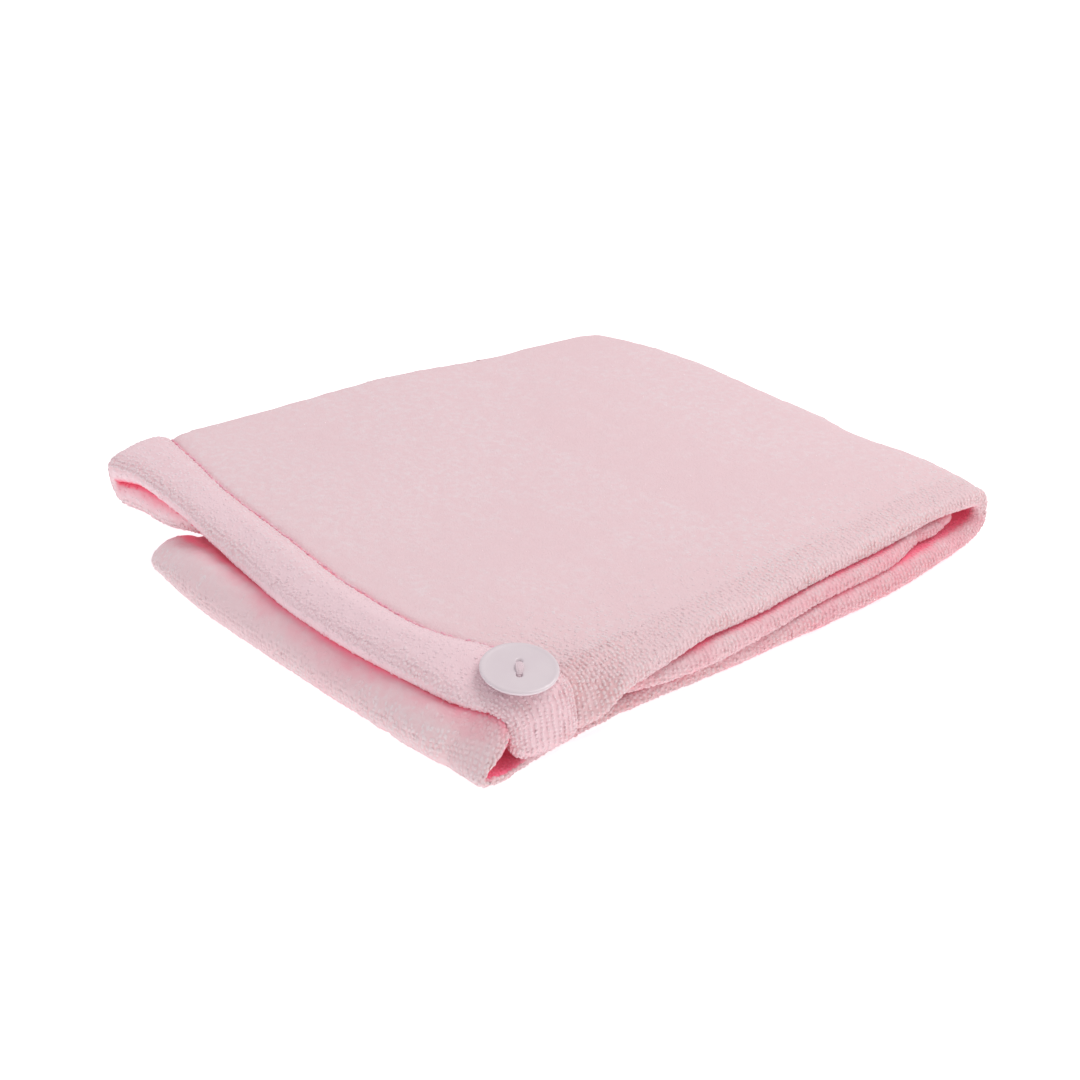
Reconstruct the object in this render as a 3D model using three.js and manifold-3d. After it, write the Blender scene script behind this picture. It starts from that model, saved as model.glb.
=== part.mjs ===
// Hair towel, folded in three as for a shelf, with its button at the front corner.
// It is a flat sleeve of thick fleece: two plies, open at the hem where the head goes in,
// closed at the tip of the tail. The sleeve is folded like a letter: the hem third lies on top,
// the middle third on the table, and the tail third is tucked in between them.
// Millimetres, +Z up. X runs along the hem to the button corner, Y from the hem to the back fold.
import * as THREE from 'three';
import { mergeVertices } from 'three/addons/utils/BufferGeometryUtils.js';
import Module from 'manifold-3d';

// Driving sizes. The tables below are measured from the middle of the folded sleeve, and
// FRAME moves them so that the origin lies under the middle of the towel's box.
const FRAME = { x: 3.7, y: 5.6 };
const CLEARANCE = 0.3;        // between two pieces that touch
const SLIT = 0.45;            // half the hollow between the two plies
const HEM_Y = -126;           // raw edge of the cloth, inside the hem band
const BAND_WALL = 1.7;        // thickness of the hem band
const BEND_AT = 103;          // x where the button corner starts to droop over the side
const BEND_RADIUS = 4.7;      // of the packet's middle in that bend
const LIP_SET_BACK = 13;      // how far the lower lip of the mouth lies behind the raw edge line
const SET_BACK_LEFT = 0.4;    // share of that left at the button side, where both lips hang down
const PRESSED_FLAT = 0.1;     // cloth closer to the table than this lies on it
const LIP_DROP = 2.2;         // how far the upper lip hangs over the lower one
const CORNER_DROP = 4;        // how far the free left corner of the hem hangs
const CORNER_PUFF = 0.5;      // share of that drop made up on top, where the corner is plump
const END_LEAN = 11.2;          // how far the front fold leans back at its right end
const END_DROP = 4;           // how far the front fold sinks at its left end

const BUTTON_RADIUS = 12.5;
const BUTTON_THICK = 3;
const BUTTON_AT = { x: 101, y: -113, z: 26.93 };
const BUTTON_TILT = { x: 3, y: 9 };  // degrees, leaning towards the corner
const BUTTON_TURN = 47;       // degrees, which lines the two holes up with the corner of the towel
const BUTTON_HOLE = 1.1;      // radius
const HOLE_SPACING = 5.6;     // between the two holes
const THREAD_RADIUS = 0.75;

const LOOP_RADIUS = 1.2;      // of the elastic at the tip of the tail
const LOOP_WIDTH = 18;
const LOOP_REACH = 17;

// One row for each place where the folded sleeve changes, from the mouth to the tip of the tail.
// y and z are the middle of the packet, out and inn its half thickness outside and inside the
// hollow, left and right its edges. droop is how many degrees its button side hangs down, edge
// the half thickness of that side, and lift how far it rises.
const FOLDS = [
  // Hem third, on top
  { y: -130, z: 21.4, out: 4.4, inn: 2.4, left: -123, right: 117, droop: 84, edge: 2.8, lift: 0 },
  { y: HEM_Y, z: 21.5, out: 4.4, inn: 2.4, left: -125, right: 120.5, droop: 84, edge: 2.8, lift: 0 },
  { y: -115, z: 21.5, out: 4.4, inn: 2.4, left: -126, right: 122.3, droop: 84, edge: 2.8, lift: 0 },
  { y: -105.5, z: 21.4, out: 4.4, inn: 2.4, left: -126, right: 122.2, droop: 82, edge: 3, lift: 0 },
  { y: -99, z: 21.2, out: 5.2, inn: 1.5, left: -127, right: 122, droop: 72, edge: 3.7, lift: 0 },
  { y: -84, z: 21, out: 5.2, inn: 0.7, left: -128, right: 117.7, droop: 34, edge: 3.9, lift: 0 },
  { y: -62, z: 20.5, out: 4.9, inn: SLIT, left: -128, right: 116.2, droop: 18, edge: 3.9, lift: 0 },
  { y: -40, z: 20.2, out: 4.7, inn: SLIT, left: -127, right: 115, droop: 3, edge: 3.9, lift: 0 },
  { y: -12, z: 20, out: 4.6, inn: SLIT, left: -124.5, right: 114.6, droop: 12, edge: 4.1, lift: -0.2 },
  { y: 20, z: 20, out: 4.6, inn: SLIT, left: -119, right: 114.2, droop: 8, edge: 3.7, lift: 0 },
  { y: 58, z: 20, out: 4.6, inn: SLIT, left: -108.5, right: 114.2, droop: 8, edge: 3.9, lift: -0.2 },
  { y: 88, z: 20, out: 4.6, inn: SLIT, left: -103, right: 115, droop: 5, edge: 3.6, lift: 0.5 },
  // Back fold
  { y: 109, z: 19.4, out: 4.2, inn: SLIT, left: -99, right: 117, droop: 0, edge: 3.5, lift: 0 },
  { y: 118.5, z: 16.8, out: 3.9, inn: SLIT, left: -95, right: 116, droop: 0, edge: 3.4, lift: 0 },
  { y: 121, z: 11.5, out: 3.7, inn: SLIT, left: -94, right: 115, droop: 0, edge: 3.4, lift: 0 },
  { y: 118, z: 6.3, out: 3.6, inn: SLIT, left: -94, right: 115, droop: 0, edge: 3.4, lift: 0 },
  { y: 109, z: 4, out: 3.6, inn: SLIT, left: -93, right: 116.5, droop: 0, edge: 3.8, lift: 0.4 },
  // Middle third, on the table
  { y: 88, z: 3.7, out: 3.7, inn: SLIT, left: -92, right: 119.5, droop: 0, edge: 4.5, lift: 0.8 },
  { y: 58, z: 3.7, out: 3.7, inn: SLIT, left: -90, right: 121, droop: 0, edge: 4.6, lift: 0.9 },
  { y: 20, z: 3.7, out: 3.7, inn: SLIT, left: -87, right: 120, droop: 0, edge: 4.4, lift: 0.7 },
  { y: -12, z: 3.7, out: 3.7, inn: SLIT, left: -85, right: 117, droop: 0, edge: 3.6, lift: -0.1 },
  { y: -40, z: 3.7, out: 3.7, inn: SLIT, left: -82, right: 113.8, droop: 0, edge: 3, lift: -0.7 },
  { y: -62, z: 3.6, out: 3.6, inn: SLIT, left: -80, right: 111.5, droop: 0, edge: 2.8, lift: -0.8 },
  { y: -86, z: 3.5, out: 3.5, inn: SLIT, left: -78, right: 109.5, droop: 0, edge: 2.4, lift: -1.1 },
  { y: -108, z: 3.5, out: 3.5, inn: SLIT, left: -77, right: 109.5, droop: 0, edge: 1.5, lift: -2 },
  { y: -124, z: 3.5, out: 3.5, inn: SLIT, left: -76, right: 112.5, droop: 0, edge: 1.8, lift: -1.7 },
  // Front fold
  { y: -133.5, z: 5.2, out: 3.5, inn: SLIT, left: -75, right: 112.5, droop: 0, edge: 2.4, lift: -1 },
  { y: -136.3, z: 10.8, out: 3.5, inn: SLIT, left: -74, right: 113, droop: 0, edge: 2.7, lift: 0 },
  { y: -131.5, z: 16, out: 3.5, inn: SLIT, left: -73, right: 110, droop: 0, edge: 2.8, lift: 0.4 },
  { y: -125, z: 15.2, out: 3.5, inn: SLIT, left: -72, right: 100, droop: 0, edge: 2.9, lift: 0.4 },
  // Tail third, tucked in between
  { y: -119, z: 11.9, out: 3.4, inn: SLIT, left: -71, right: 98.5, droop: 0, edge: 3, lift: 0 },
  { y: -111, z: 10.7, out: 3.4, inn: SLIT, left: -70, right: 98.5, droop: 0, edge: 3.1, lift: -0.5 },
  { y: -86, z: 10.8, out: 3.5, inn: SLIT, left: -65, right: 106, droop: 0, edge: 2.2, lift: -1.8 },
  { y: -62, z: 11.1, out: 3.5, inn: SLIT, left: -58, right: 114.5, droop: 0, edge: 3, lift: -1.1 },
  { y: -40, z: 11.4, out: 3.6, inn: SLIT, left: -51, right: 117.5, droop: 0, edge: 4, lift: -0.7 },
  { y: -12, z: 11.5, out: 3.6, inn: SLIT, left: -41, right: 117.8, droop: 0, edge: 3.3, lift: -0.7 },
  { y: 20, z: 11.5, out: 3.6, inn: SLIT, left: -25, right: 117.3, droop: 0, edge: 3, lift: 0.6 },
  { y: 52, z: 11.5, out: 3.6, inn: SLIT, left: -2, right: 118, droop: 0, edge: 2.7, lift: 0.5 },
  { y: 77, z: 11.5, out: 3.5, inn: SLIT, left: 18, right: 113.7, droop: 0, edge: 2.9, lift: 0.8 },
  { y: 88, z: 11.5, out: 3.2, inn: SLIT, left: 38, right: 114.5, droop: 0, edge: 2.8, lift: 0.7 },
  { y: 97, z: 11.5, out: 2.8, inn: SLIT, left: 64, right: 113, droop: 0, edge: 2.5, lift: 0.7 },
  { y: 105, z: 11.5, out: 2.2, inn: SLIT, left: 82, right: 111, droop: 0, edge: 2, lift: 0.7 },
  { y: 111, z: 11.5, out: 1.4, inn: SLIT, left: 90, right: 104, droop: 0, edge: 1.3, lift: 0.4 },
];
const FIRST_CLOTH_ROW = 1;    // the raw edge
const HEM_PLACES = [1, 4 / 3, 5 / 3, 2, 2.5, 3];  // stations from the raw edge to the stitches
const HEM_INNER_STEPS = 5;    // of those stations, how many the band covers inside the mouth
const BACK_FOLD_ROW = 14;
const HOLLOW_END = 3;         // rows between the end of the hollow and the tip of the tail
const LOOP_ROW = 39;          // the elastic is sewn on between this row and the next

// How far the hem, its line of stitches, the front fold and the back fold lie from a straight
// line, along X. The stitches move with the hem, and by this much more.
const HEM_LINE = [
  { x: -128, shift: 10 }, { x: -112, shift: 12 }, { x: -98, shift: 11.5 }, { x: -68, shift: 7.5 },
  { x: -26, shift: 1.2 }, { x: 10, shift: -5.2 }, { x: 41, shift: -6.9 }, { x: 67, shift: -6 },
  { x: 91, shift: -4.2 }, { x: 100, shift: -1.5 }, { x: 108, shift: 4.5 }, { x: 114, shift: 6 },
];
const SEAM_LINE = [
  { x: -125, shift: 8 }, { x: -112, shift: 2 }, { x: -98, shift: 0.3 }, { x: -86, shift: -1.7 },
  { x: -68, shift: -3.6 }, { x: 0, shift: -3.8 }, { x: 40, shift: -4.4 }, { x: 57, shift: -5 },
  { x: 66, shift: -3.9 }, { x: 74, shift: -1.3 }, { x: 82, shift: 2.5 }, { x: 90, shift: 3.5 },
];
const FRONT_FOLD_LINE = [
  { x: -75, shift: 7 }, { x: -60, shift: 3 }, { x: -37, shift: -0.5 }, { x: 0, shift: -2.2 },
  { x: 50, shift: -3.6 }, { x: 98, shift: -4.4 }, { x: 107, shift: -5.6 }, { x: 113, shift: -6.2 },
];
const BACK_FOLD_LINE = [
  { x: -98, shift: 2 }, { x: -72, shift: 7 }, { x: -40, shift: 9.5 }, { x: 0, shift: 4 },
  { x: 30, shift: 2 }, { x: 48, shift: -3 }, { x: 60, shift: -2 }, { x: 81, shift: -0.8 },
  { x: 100, shift: -3 }, { x: 119, shift: -9 },
];

// How far down the lower ply bags at the free left corner of the hem.
const SAG_LINE = [
  { x: -128, shift: 2.4 }, { x: -115, shift: 2.5 }, { x: -106, shift: 3.3 }, { x: -98, shift: 4.8 },
  { x: -89, shift: 3.6 }, { x: -79, shift: 2.2 }, { x: -71, shift: 0.6 }, { x: -65, shift: 0 },
];

// Where each soft shape fades in or out, from and to, along X or Y, or up Z.
const FADE = {
  backFoldY: [60, 110], backFoldZ: [-8, 14], frontFoldY: [-130, -100], hemY: [-118, -45],
  seamFrontY: [-130, -105.5], seamBackY: [-105.5, -70], setBackX: [92, 106],
  lipStartX: [-70, -20], lipEndX: [104, 116], lipY: [-115, -127], cornerY: [-112, -45],
  dropX: [-100, -124], dropY: [-96, -122],
  leanX: [88, 110], leanZ: [3, 14], sinkX: [-45, -66], sinkZ: 19,
};

// Places across a ply: shares of the way from the left edge to the button side, and across that side.
const SIDE_START = 101;       // x where the button side begins
const SIDE_FADE = 22;         // and the stretch before it over which the packet changes thickness
const SIDE_LEAST = 5;         // least width of that side
const ACROSS = [0, 0.025, 0.07, 0.15, 0.25, 0.38, 0.56, 0.76, 0.93, 1];
const ACROSS_SIDE = [0.16, 0.28, 0.4, 0.54, 1];
const NOSE_STEPS = 4;         // facets round each edge
const FOLD_STEPS = 2;         // stations for each row of a fold
const LONG_STEP = 20;         // most length between two stations elsewhere

const COLOURS = {
  fleece: { color: 0xe9cdd3, roughness: 0.95, metalness: 0 },
  hem: { color: 0xe7c9d0, roughness: 0.95, metalness: 0 },
  button: { color: 0xe6dde2, roughness: 0.3, metalness: 0 },
  thread: { color: 0xe4cfd4, roughness: 0.8, metalness: 0 },
  elastic: { color: 0xe2c3ca, roughness: 0.85, metalness: 0 },
};

const radians = THREE.MathUtils.degToRad;
const mix = THREE.MathUtils.lerp;

// Share of the way from one value to another, eased at both ends.
function smooth(value, [from, to]) {
  const t = THREE.MathUtils.clamp((value - from) / (to - from), 0, 1);
  return t * t * (3 - 2 * t);
}

// Value of a table column at a place between rows, on a curve through the rows.
function alongRows(rows, column, place) {
  const i = THREE.MathUtils.clamp(Math.floor(place), 0, rows.length - 2);
  const t = place - i;
  const at = (k) => rows[THREE.MathUtils.clamp(k, 0, rows.length - 1)][column];
  const [a, b, c, d] = [at(i - 1), at(i), at(i + 1), at(i + 2)];
  const bend = (2 * a - 5 * b + 4 * c - d) * t * t + (3 * (b - c) + d - a) * t * t * t;
  return b + 0.5 * ((c - a) * t + bend);
}

// Shift of a fold line at x, straight between the rows and level past them.
function shiftAt(line, x) {
  const next = line.findIndex((row) => row.x > x);
  if (next === 0) return line[0].shift;
  if (next < 0) return line[line.length - 1].shift;
  const [a, b] = [line[next - 1], line[next]];
  return mix(a.shift, b.shift, (x - a.x) / (b.x - a.x));
}

// The sleeve's section at a place on the folded path: its row values and its outward direction.
function stationAt(place) {
  const row = {};
  for (const column of Object.keys(FOLDS[0])) row[column] = alongRows(FOLDS, column, place);
  const step = 0.01;
  const dy = alongRows(FOLDS, 'y', place + step) - alongRows(FOLDS, 'y', place - step);
  const dz = alongRows(FOLDS, 'z', place + step) - alongRows(FOLDS, 'z', place - step);
  const length = Math.hypot(dy, dz);
  return { ...row, place, outY: -dz / length, outZ: dy / length };
}

// Points of the section loop: across runs from 0 at the left edge to 1 at the button side and
// 2 at the right edge, and turn is the angle round an edge.
function loopPlaces() {
  const ply = [...ACROSS, ...ACROSS_SIDE.map((share) => 1 + share)];
  const places = ply.map((across) => ({ across, turn: 90 }));
  for (let k = 1; k < NOSE_STEPS; k += 1) places.push({ across: 2, turn: 90 - (180 * k) / NOSE_STEPS });
  for (const across of ply.reverse()) places.push({ across, turn: -90 });
  for (let k = 1; k < NOSE_STEPS; k += 1) places.push({ across: 0, turn: -90 - (180 * k) / NOSE_STEPS });
  return places;
}
const LOOP = loopPlaces();

// How far a point is moved from the straight fold to the soft one. x is where the packet's middle
// lies below or above it. depth runs from -1 on the outer skin to 1 on the inner one.
function softShift(x, { y, z }, side, depth, station) {
  const atBack = smooth(y, FADE.backFoldY) * smooth(z, FADE.backFoldZ);
  const shift = new THREE.Vector3(0, atBack * shiftAt(BACK_FOLD_LINE, x), 0);
  if (station.place > BACK_FOLD_ROW) {
    const atFront = 1 - smooth(y, FADE.frontFoldY);
    const lean = END_LEAN * smooth(x, FADE.leanX) * smooth(station.z, FADE.leanZ);
    shift.y += atFront * (shiftAt(FRONT_FOLD_LINE, x) + lean);
    shift.z -= (atFront * END_DROP * smooth(x, FADE.sinkX) * z) / FADE.sinkZ;
    return shift;
  }
  const upper = (1 + side) / 2;
  const hem = shiftAt(HEM_LINE, x);
  const setBack = LIP_SET_BACK * mix(1, SET_BACK_LEFT, smooth(x, FADE.setBackX));
  shift.y += (1 - smooth(y, FADE.hemY)) * mix(Math.max(hem, setBack), hem, upper);
  const atSeam = smooth(y, FADE.seamFrontY) * (1 - smooth(y, FADE.seamBackY));
  shift.y += atSeam * shiftAt(SEAM_LINE, x);
  const overLip = smooth(x, FADE.lipStartX) * (1 - smooth(x, FADE.lipEndX));
  const pastLip = Math.max(0, (FADE.lipY[0] - y) / (FADE.lipY[0] - FADE.lipY[1]));
  const sag = shiftAt(SAG_LINE, x) * (1 - smooth(y, FADE.cornerY));
  const plump = 1 - CORNER_PUFF * Math.max(0, -depth);
  const drop = CORNER_DROP * plump * smooth(x, FADE.dropX) * smooth(y, FADE.dropY);
  shift.z -= LIP_DROP * upper * overLip * pastLip + sag * Math.max(0, depth) + drop;
  return shift;
}

// A point at half thickness h on the loop of the section at a station.
function clothPoint(station, { across, turn }, h) {
  const { out, left, right, droop, edge, lift } = station;
  const sideStart = Math.min(SIDE_START, right - edge - SIDE_LEAST);
  const middle = across < 1 ? mix(left + out, sideStart, across) : mix(sideStart, right - edge, across - 1);
  const atSide = smooth(middle, [SIDE_START - SIDE_FADE, SIDE_START]);
  const pinch = mix(1, edge / out, atSide);
  const offset = h * pinch * Math.sin(radians(turn));
  const along = middle + h * pinch * Math.cos(radians(turn));

  // Angle turned at w, length past the bend, and x: w is measured along the drooping packet.
  const bent = (w) => Math.min(Math.max(w - BEND_AT, 0) / BEND_RADIUS, radians(droop));
  const past = (w) => Math.max(w - BEND_AT - BEND_RADIUS * radians(droop), 0);
  const acrossBend = (w, up) => (BEND_RADIUS + up) * Math.sin(bent(w));
  const xOf = (w, up) => Math.min(w, BEND_AT) + acrossBend(w, up) + past(w) * Math.cos(bent(w));
  const fall = BEND_RADIUS * (1 - Math.cos(bent(along))) + past(along) * Math.sin(bent(along));
  const rise = offset * Math.cos(bent(along)) - fall;
  const x = xOf(along, offset);

  const point = new THREE.Vector3(
    x,
    station.y + station.outY * rise,
    station.z + station.outZ * rise + lift * atSide,
  );
  const side = Math.sin(radians(turn));
  point.add(softShift(xOf(middle, 0), point, side, -offset / out, station));
  if (point.z < PRESSED_FLAT) point.z = 0;
  return point;
}

// Faces that close a section loop, from each point of the upper ply to the one below it.
function capFaces(first, forward) {
  const size = LOOP.length;
  const below = (j) => (2 * size - NOSE_STEPS - j) % size;
  const leftEdge = size - NOSE_STEPS / 2;
  const faces = [];
  for (let k = 0; k < size / 2; k += 1) {
    const [a, b] = [(leftEdge + k) % size, (leftEdge + k + 1) % size];
    for (const corners of [[a, b, below(b)], [a, below(b), below(a)]]) {
      if (new Set(corners).size < corners.length) continue;
      faces.push(...(forward ? corners : corners.reverse()).map((j) => first + j));
    }
  }
  return faces;
}

// Surface through rings of equal length, joined end to start when it is round. Between open ends
// the second half of each ring is split the other way, so that both plies bend alike.
function surface(rings, round) {
  const size = rings[0].length;
  const count = rings.length * size;
  const faces = [];
  for (let i = 0; i < (round ? rings.length : rings.length - 1); i += 1) {
    for (let j = 0; j < size; j += 1) {
      const [a, b] = [i * size + j, i * size + ((j + 1) % size)];
      const [c, d] = [(a + size) % count, (b + size) % count];
      const mirrored = !round && j >= size / 2;
      faces.push(...(mirrored ? [a, b, d, a, d, c] : [a, b, c, b, d, c]));
    }
  }
  if (!round) faces.push(...capFaces(0, false), ...capFaces(count - size, true));
  const geometry = new THREE.BufferGeometry().setFromPoints(rings.flat());
  geometry.setIndex(faces);
  return geometry;
}

// Stations of the cloth from its raw edge to a place on the path, close together in the folds.
function placesAlong(to) {
  const places = [];
  for (let i = HEM_PLACES.at(-1); i < to; i += 1) {
    const [a, b] = [FOLDS[i], FOLDS[i + 1]];
    const inFold = Math.abs(b.z - a.z) > 2;
    const length = Math.hypot(b.y - a.y, b.z - a.z);
    const steps = inFold ? FOLD_STEPS : Math.max(1, Math.round(length / LONG_STEP));
    for (let k = 0; k < steps; k += 1) places.push(i + k / steps);
  }
  return [...HEM_PLACES.slice(0, -1), ...places.filter((place) => place < to), to];
}

// The sleeve: out along its skin to the tip of the tail, and back along the hollow to the raw edge.
function towelBody() {
  const last = FOLDS.length - 1;
  const skin = placesAlong(last).map((place) => {
    const station = stationAt(place);
    return LOOP.map((spot) => clothPoint(station, spot, station.out));
  });
  const hollow = placesAlong(last - HOLLOW_END).map((place) => {
    const station = stationAt(place);
    return LOOP.map((spot) => clothPoint(station, spot, station.inn));
  });
  return surface([...hollow.reverse(), ...skin], false);
}

// Section of the hem band, from the stitches round the raw edge and into the mouth.
// place is along the sleeve's rows, h is measured from the middle of the packet.
function bandSection() {
  const inside = FOLDS[FIRST_CLOTH_ROW].inn - CLEARANCE;
  const outside = FOLDS[FIRST_CLOTH_ROW].out + CLEARANCE;
  const [lowest, highest] = [inside - BAND_WALL, outside + BAND_WALL];
  const middle = (lowest + highest) / 2;
  const reach = HEM_PLACES.slice(0, HEM_INNER_STEPS);
  const puff = [0.2, 0.4, 0.5, 0.45, 0.1, -0.8];
  const gapFront = FIRST_CLOTH_ROW - 0.08;
  return [
    ...HEM_PLACES.map((place, i) => ({ place, h: highest + puff[i] })).reverse(),
    { place: 0.72, h: highest - 0.5 },
    { place: 0.52, h: middle + 1.1 },
    { place: 0.52, h: middle - 1.1 },
    { place: 0.72, h: lowest + 0.5 },
    ...reach.map((place) => ({ place, h: lowest })),
    ...reach.map((place) => ({ place, h: inside })).reverse(),
    { place: gapFront, h: inside },
    { place: gapFront, h: outside },
    ...HEM_PLACES.map((place) => ({ place, h: outside })),
  ];
}

function hemBand() {
  const stations = bandSection().map(({ place, h }) => ({ station: stationAt(place), h }));
  const rings = LOOP.map((spot) => stations.map(({ station, h }) => clothPoint(station, spot, h)));
  return surface(rings, true);
}

// Solids from closed meshes, for the holes of the button.
const wasm = await Module();
wasm.setup();

function toSolid(geometry) {
  const bare = geometry.clone();
  for (const name of ['normal', 'uv']) bare.deleteAttribute(name);
  const merged = mergeVertices(bare, 1e-4);
  return new wasm.Manifold(new wasm.Mesh({
    numProp: 3,
    vertProperties: merged.attributes.position.array,
    triVerts: new Uint32Array(merged.index.array),
  }));
}

function toGeometry(solid) {
  const mesh = solid.getMesh();
  const geometry = new THREE.BufferGeometry();
  geometry.setAttribute('position', new THREE.BufferAttribute(mesh.vertProperties, 3));
  geometry.setIndex(new THREE.BufferAttribute(mesh.triVerts, 1));
  return geometry;
}

// A flat disc with a raised rim, dished in the middle, with two holes for the thread.
function buttonDisc() {
  const rim = 1.4;
  const dish = 0.7;
  const profile = [
    [0, 0], [BUTTON_RADIUS - 1.8, 0], [BUTTON_RADIUS - 0.4, 0.7], [BUTTON_RADIUS, 1.6],
    [BUTTON_RADIUS - 0.2, BUTTON_THICK - 0.4], [BUTTON_RADIUS - 0.8, BUTTON_THICK],
    [BUTTON_RADIUS - rim, BUTTON_THICK - 0.15], [BUTTON_RADIUS - 2.6, BUTTON_THICK - dish],
    [4.6, BUTTON_THICK - dish - 0.25], [0, BUTTON_THICK - dish - 0.3],
  ].map(([r, z]) => new THREE.Vector2(r, z));
  const disc = new THREE.LatheGeometry(profile, 36).rotateX(Math.PI / 2);
  let solid = toSolid(disc);
  for (const side of [-1, 1]) {
    const hole = new THREE.CylinderGeometry(BUTTON_HOLE, BUTTON_HOLE, 3 * BUTTON_THICK, 12)
      .rotateX(Math.PI / 2)
      .translate(0, (side * HOLE_SPACING) / 2, 0);
    solid = solid.subtract(toSolid(hole));
  }
  return toGeometry(solid);
}

// A round cord along a curve.
function cordAlong(points, radius, steps) {
  const section = new THREE.Shape().absarc(0, 0, radius, 0, 2 * Math.PI);
  return new THREE.ExtrudeGeometry(section, {
    steps,
    curveSegments: 4,
    bevelEnabled: false,
    extrudePath: new THREE.CatmullRomCurve3(points),
  });
}

// The threads that go down through both holes, with one bar across the top.
function threadBar() {
  const half = HOLE_SPACING / 2;
  const top = BUTTON_THICK - 0.2 + THREAD_RADIUS;
  const route = [[0, -half, 0.1], [0, -half, 0.5 * top], [0, -0.75 * half, top], [0, 0, top + 0.15],
    [0, 0.75 * half, top], [0, half, 0.5 * top], [0, half, 0.1]];
  return cordAlong(route.map((p) => new THREE.Vector3(...p)), THREAD_RADIUS, 14);
}

// The elastic that the button goes through, a plain loop lying flat past the slanted end of the tail.
function elasticLoop() {
  const [a, b] = [LOOP_ROW, LOOP_ROW + 1].map((row) => {
    const station = stationAt(row);
    return clothPoint(station, { across: 0, turn: 180 }, station.out);
  });
  const along = b.clone().sub(a).normalize();
  const outward = new THREE.Vector3(-along.y, along.x, 0).normalize();
  const seat = a.clone().lerp(b, 0.5).addScaledVector(outward, CLEARANCE);
  const route = [[-0.5, 0], [-0.53, 0.45], [-0.32, 0.86], [0, 1], [0.32, 0.86], [0.53, 0.45], [0.5, 0]];
  return cordAlong(route.map(([side, reach]) => seat.clone()
    .addScaledVector(along, side * LOOP_WIDTH)
    .addScaledVector(outward, reach * LOOP_REACH)), LOOP_RADIUS, 18);
}

function piece(name, geometry, colours) {
  const faceted = geometry.index ? geometry.toNonIndexed() : geometry;
  faceted.computeVertexNormals();
  const mesh = new THREE.Mesh(faceted, new THREE.MeshStandardMaterial(colours));
  mesh.name = name;
  return mesh;
}

const folded = new THREE.Group();
folded.position.set(FRAME.x, FRAME.y, 0);
folded.add(piece('towel_body', towelBody(), COLOURS.fleece));
folded.add(piece('hem_band', hemBand(), COLOURS.hem));
folded.add(piece('elastic_loop', elasticLoop(), COLOURS.elastic));

const fastener = new THREE.Group();
fastener.position.set(BUTTON_AT.x, BUTTON_AT.y, BUTTON_AT.z);
fastener.rotation.set(radians(BUTTON_TILT.x), radians(BUTTON_TILT.y), radians(BUTTON_TURN));
fastener.add(piece('button', buttonDisc(), COLOURS.button));
fastener.add(piece('button_thread', threadBar(), COLOURS.thread));
folded.add(fastener);

const towel = new THREE.Group();
towel.add(folded);

export default towel;
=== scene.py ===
# %% [markdown]
# # A folded hair towel
# This lesson dresses a plain solid of a folded hair towel. The towel is a tapered sleeve of coral
# fleece, two plies thick, with a wide hem round its mouth and a button at one corner. It lies
# folded in three, like a letter.
#
# The solids are a frame that is already measured, so every piece here is worked out in the same
# place. The first cell loads them.

# %% Load the frame
import math

import bmesh
import bpy
import numpy as np
from mathutils import Matrix, Vector, noise


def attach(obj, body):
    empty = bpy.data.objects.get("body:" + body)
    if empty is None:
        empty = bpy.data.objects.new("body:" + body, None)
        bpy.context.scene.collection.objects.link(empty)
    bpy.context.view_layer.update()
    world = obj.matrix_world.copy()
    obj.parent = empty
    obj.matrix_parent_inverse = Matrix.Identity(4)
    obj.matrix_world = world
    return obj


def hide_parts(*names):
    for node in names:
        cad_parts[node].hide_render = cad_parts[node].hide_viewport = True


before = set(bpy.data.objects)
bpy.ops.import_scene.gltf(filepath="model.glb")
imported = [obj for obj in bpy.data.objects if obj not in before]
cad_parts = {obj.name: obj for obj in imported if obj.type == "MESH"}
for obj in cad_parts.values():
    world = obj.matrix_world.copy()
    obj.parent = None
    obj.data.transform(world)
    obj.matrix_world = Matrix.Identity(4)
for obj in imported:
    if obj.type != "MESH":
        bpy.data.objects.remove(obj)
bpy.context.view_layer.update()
MM = 0.001

# %% [markdown]
# ## Camera
# The camera stands where the photographer's stood: to the right of the button corner, looking
# 27 degrees down. It could be aimed with a constraint, but a constraint is one more thing that can
# move. Turning it by two angles in plain numbers keeps the view fixed.

# %% Camera
FRAME_X, FRAME_Y = 3.7, 5.6      # from the fold table's zero to the frame's, in millimetres
CAMERA_AT = (490.7 + FRAME_X, -475.1 + FRAME_Y, 344.5)
CAMERA_TURN = 46.4               # degrees round from looking along +Y
CAMERA_DOWN = 27.0               # degrees below the horizon

camera_data = bpy.data.cameras.new("camera")
camera_data.lens = 66.67
camera_data.sensor_width = 36.0
camera = bpy.data.objects.new("camera", camera_data)
camera.location = [v * MM for v in CAMERA_AT]
camera.rotation_euler = (math.radians(90 - CAMERA_DOWN), 0, math.radians(CAMERA_TURN))
bpy.context.scene.collection.objects.link(camera)
bpy.context.scene.camera = camera
print("camera at", [round(v, 3) for v in camera.location])
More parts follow.
